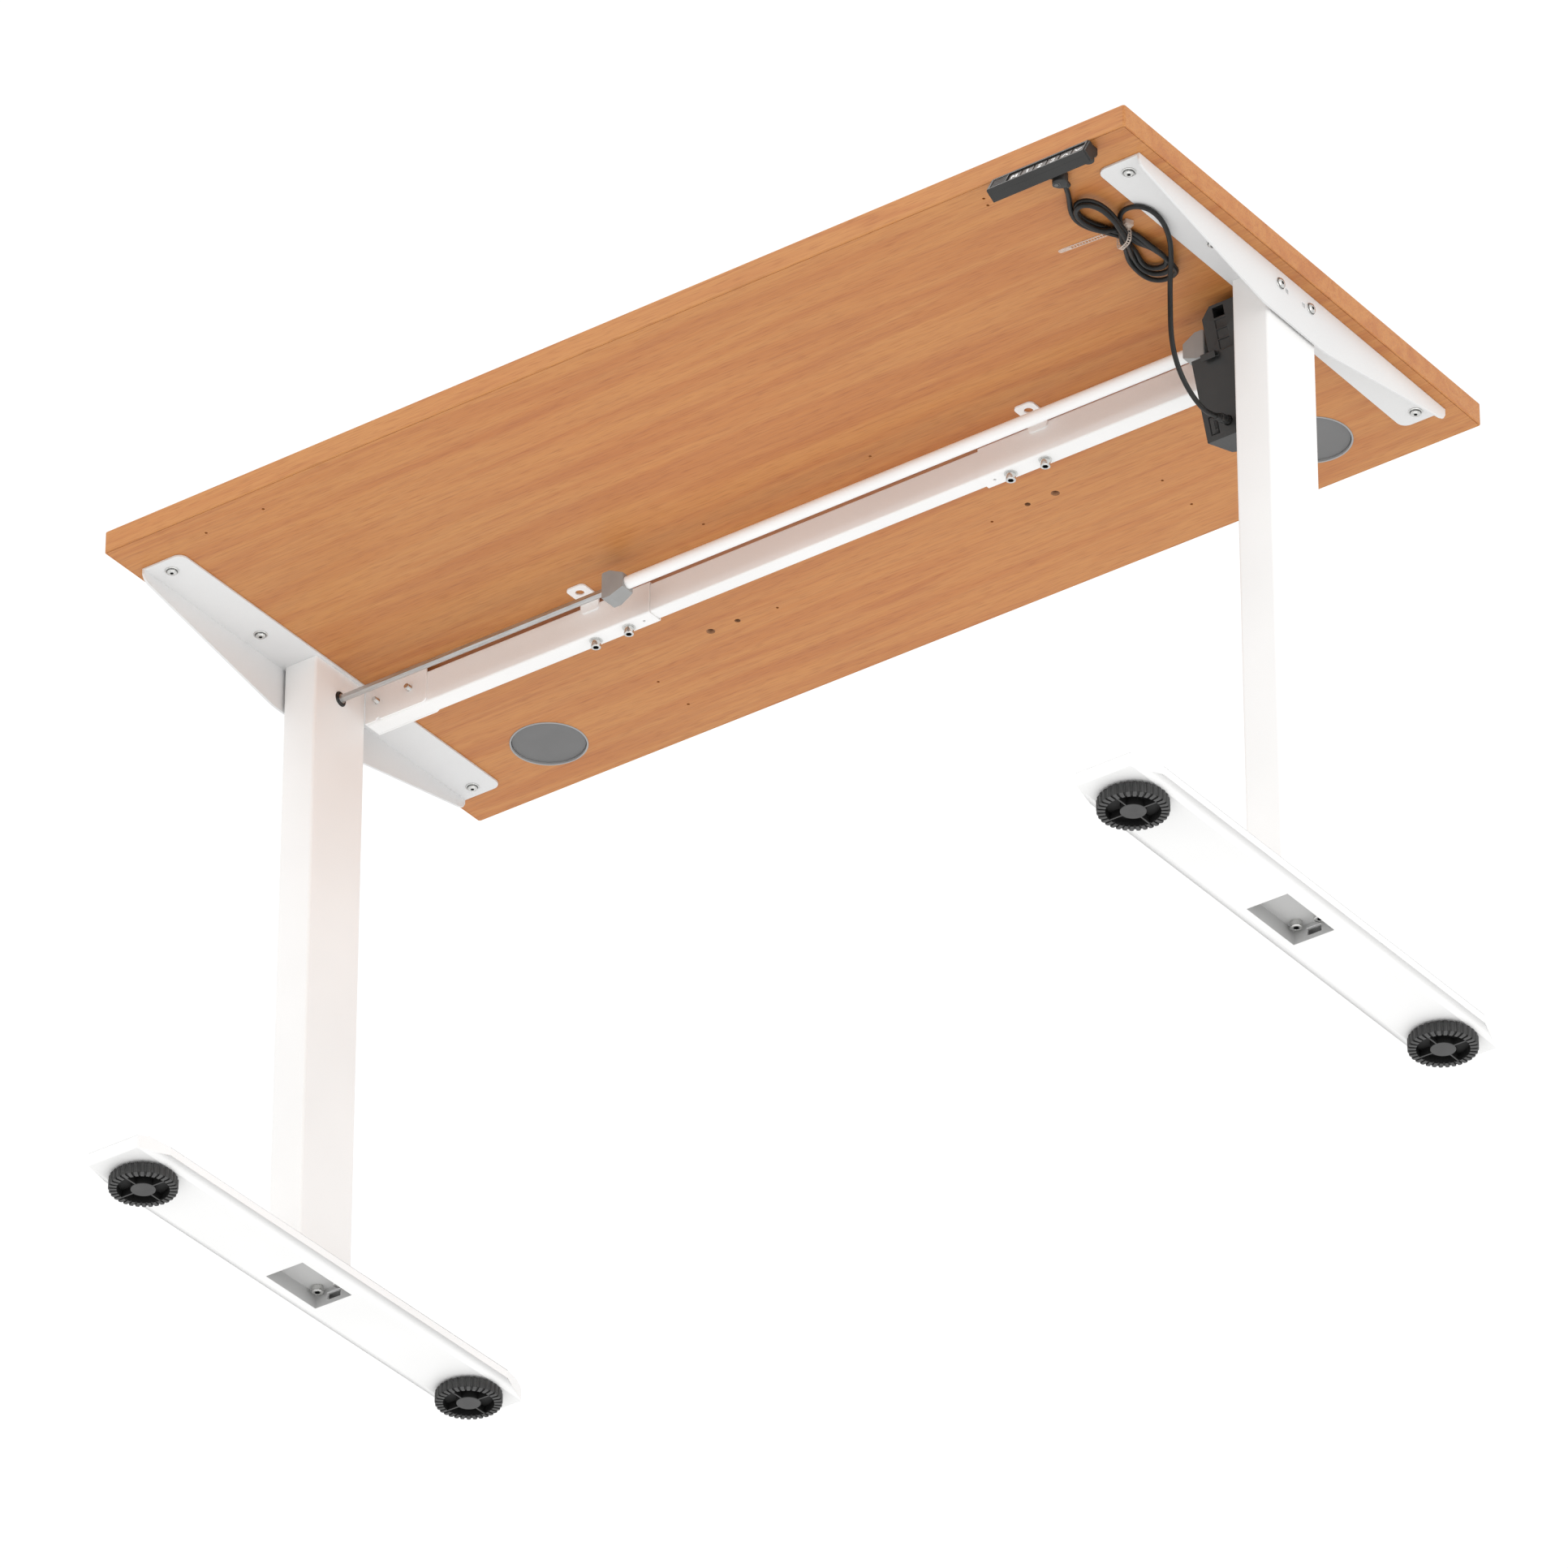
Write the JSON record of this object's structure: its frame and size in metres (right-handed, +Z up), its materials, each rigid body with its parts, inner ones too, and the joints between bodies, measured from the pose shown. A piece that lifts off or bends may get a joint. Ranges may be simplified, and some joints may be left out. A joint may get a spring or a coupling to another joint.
{
  "type": "height-adjustable desk",
  "caption": "Electric sit-stand desk on telescoping lead-screw actuator columns, with a shared drive shaft, side motor unit, cross rail, long feet and wired handset.",
  "frame": {"origin": "on the floor, midway between the two columns, below the drive shaft", "axes": "+X to the user's right along the drive shaft, -Y towards the user, +Z up along the lifting columns"},
  "size_m": [1.204, 0.6105, 0.73],
  "materials": {
    "beech": "fine-grained beech laminate, satin",
    "beech_edge": "beech edging strip, satin",
    "powder_white": "fine-textured white powder coat",
    "zinc": "bright zinc plate",
    "black_plastic": "fine-sparked black plastic",
    "key_plastic": "glossy black with white marks",
    "leveller_black": "moulded black plastic",
    "cord_rubber": "smooth black cable jacket",
    "clear_nylon": "translucent natural nylon",
    "coupling_grey": "mid-grey moulding",
    "grommet_grey": "smooth mid-grey plastic",
    "grommet_rim": "light grey plastic",
    "glide_plastic": "grey acetal",
    "steel": "bright drawn steel",
    "gear_steel": "machined steel",
    "brass": "machined brass",
    "nut_plastic": "ivory acetal",
    "circuit_board": "green solder mask"
  },
  "bodies": {
    "left_base": {"foot_left": "powder_white", "foot_bolts_left": "zinc", "inner_tube_left": "steel", "lift_nut_left": "nut_plastic"},
    "right_base": {"foot_right": "powder_white", "foot_bolts_right": "zinc", "inner_tube_right": "steel", "lift_nut_right": "nut_plastic"},
    "drive_shaft": {"hex_shaft": "steel", "shaft_tube": "powder_white", "shaft_couplings": "coupling_grey", "shaft_bevels": "gear_steel", "worm_wheel": "brass"},
    "rotor": {"worm_shaft": "gear_steel"},
    "left_screw": {"lead_screw_left": "steel", "screw_bevel_left": "gear_steel"},
    "right_screw": {"lead_screw_right": "steel", "screw_bevel_right": "gear_steel"},
    "grommet_cap_left_body": {"grommet_cap_left": "grommet_grey"},
    "grommet_cap_right_body": {"grommet_cap_right": "grommet_grey"},
    "key_memory_body": {"key_memory": "key_plastic"},
    "key_one_body": {"key_one": "key_plastic"},
    "key_two_body": {"key_two": "key_plastic"},
    "key_three_body": {"key_three": "key_plastic"},
    "key_up_body": {"key_up": "key_plastic"},
    "key_down_body": {"key_down": "key_plastic"},
    "leveller_front_left_body": {"leveller_front_left": "leveller_black"},
    "leveller_rear_left_body": {"leveller_rear_left": "leveller_black"},
    "leveller_front_right_body": {"leveller_front_right": "leveller_black"},
    "leveller_rear_right_body": {"leveller_rear_right": "leveller_black"},
    "top": {"desktop": "beech", "edge_band": "beech_edge", "grommet_sleeves": "grommet_rim", "side_bracket_left": "powder_white", "side_bracket_right": "powder_white", "bracket_screws": "zinc", "column_bolts": "zinc", "rail_outer_left": "powder_white", "rail_outer_right": "powder_white", "rail_inner": "powder_white", "rail_bolts": "zinc", "rail_end_brackets": "powder_white", "end_bracket_bolts": "zinc", "outer_tube_left": "powder_white", "outer_tube_right": "powder_white", "gear_carriers": "glide_plastic", "column_glides": "glide_plastic", "gearbox_housing": "black_plastic", "motor_housing": "black_plastic", "motor_can": "steel", "control_board": "circuit_board", "handset_case": "black_plastic", "handset_base": "black_plastic", "cable_tie": "clear_nylon", "cord_gland": "black_plastic", "cord_plug": "black_plastic", "cord_lead": "cord_rubber", "cord_hank": "cord_rubber", "cord_run": "cord_rubber"}
  },
  "joints": [
    {"name": "lift", "type": "slide", "parent": "left_base", "child": "top", "axis": [0, 0, 1], "range_m": [0, 0.46]},
    {"name": "right_column", "type": "slide", "parent": "top", "child": "right_base", "axis": [0, 0, -1], "range_m": [0, 0.461]},
    {"name": "drive_shaft_turn", "type": "hinge", "parent": "top", "child": "drive_shaft", "pos_m": [0, 0, 0.673], "axis": [1, 0, 0], "range_deg": [-20, 16580]},
    {"name": "left_screw_turn", "type": "hinge", "parent": "top", "child": "left_screw", "pos_m": [-0.562, 0, 0.6], "axis": [0, 0, 1], "range_deg": [-20, 16580]},
    {"name": "right_screw_turn", "type": "hinge", "parent": "top", "child": "right_screw", "pos_m": [0.562, 0, 0.6], "axis": [0, 0, 1], "range_deg": [-16580, 20]},
    {"name": "worm_turn", "type": "hinge", "parent": "top", "child": "rotor", "pos_m": [0.51, -0.0124, 0.66909], "axis": [0, -0.3007, 0.9537], "range_deg": [-60, 82860]},
    {"name": "grommet_cap_left_lift", "type": "slide", "parent": "top", "child": "grommet_cap_left_body", "axis": [0, 0, 1], "range_m": [0, 0.03]},
    {"name": "grommet_cap_right_lift", "type": "slide", "parent": "top", "child": "grommet_cap_right_body", "axis": [0, 0, 1], "range_m": [0, 0.03]},
    {"name": "key_memory_press", "type": "slide", "parent": "top", "child": "key_memory_body", "axis": [0, 0.8763, -0.4817], "range_m": [0, 0.001], "stiffness_N_per_m": 500, "springref_m": -0.001},
    {"name": "key_one_press", "type": "slide", "parent": "top", "child": "key_one_body", "axis": [0, 0.8763, -0.4817], "range_m": [0, 0.001], "stiffness_N_per_m": 500, "springref_m": -0.001},
    {"name": "key_two_press", "type": "slide", "parent": "top", "child": "key_two_body", "axis": [0, 0.8763, -0.4817], "range_m": [0, 0.001], "stiffness_N_per_m": 500, "springref_m": -0.001},
    {"name": "key_three_press", "type": "slide", "parent": "top", "child": "key_three_body", "axis": [0, 0.8763, -0.4817], "range_m": [0, 0.001], "stiffness_N_per_m": 500, "springref_m": -0.001},
    {"name": "key_up_press", "type": "slide", "parent": "top", "child": "key_up_body", "axis": [0, 0.8763, -0.4817], "range_m": [0, 0.001], "stiffness_N_per_m": 500, "springref_m": -0.001},
    {"name": "key_down_press", "type": "slide", "parent": "top", "child": "key_down_body", "axis": [0, 0.8763, -0.4817], "range_m": [0, 0.001], "stiffness_N_per_m": 500, "springref_m": -0.001},
    {"name": "leveller_front_left_adjust", "type": "slide", "parent": "left_base", "child": "leveller_front_left_body", "axis": [0, 0, -1], "range_m": [0, 0.01]},
    {"name": "leveller_rear_left_adjust", "type": "slide", "parent": "left_base", "child": "leveller_rear_left_body", "axis": [0, 0, -1], "range_m": [0, 0.01]},
    {"name": "leveller_front_right_adjust", "type": "slide", "parent": "right_base", "child": "leveller_front_right_body", "axis": [0, 0, -1], "range_m": [0, 0.01]},
    {"name": "leveller_rear_right_adjust", "type": "slide", "parent": "right_base", "child": "leveller_rear_right_body", "axis": [0, 0, -1], "range_m": [0, 0.01]}
  ],
  "couplings": [
    {"joint": "right_column", "follows": "lift", "ratio": 1},
    {"joint": "drive_shaft_turn", "follows": "lift", "rad_per_m": 628.32},
    {"joint": "left_screw_turn", "follows": "lift", "rad_per_m": 628.32},
    {"joint": "right_screw_turn", "follows": "lift", "rad_per_m": -628.32},
    {"joint": "worm_turn", "follows": "lift", "rad_per_m": 3141.6}
  ]
}
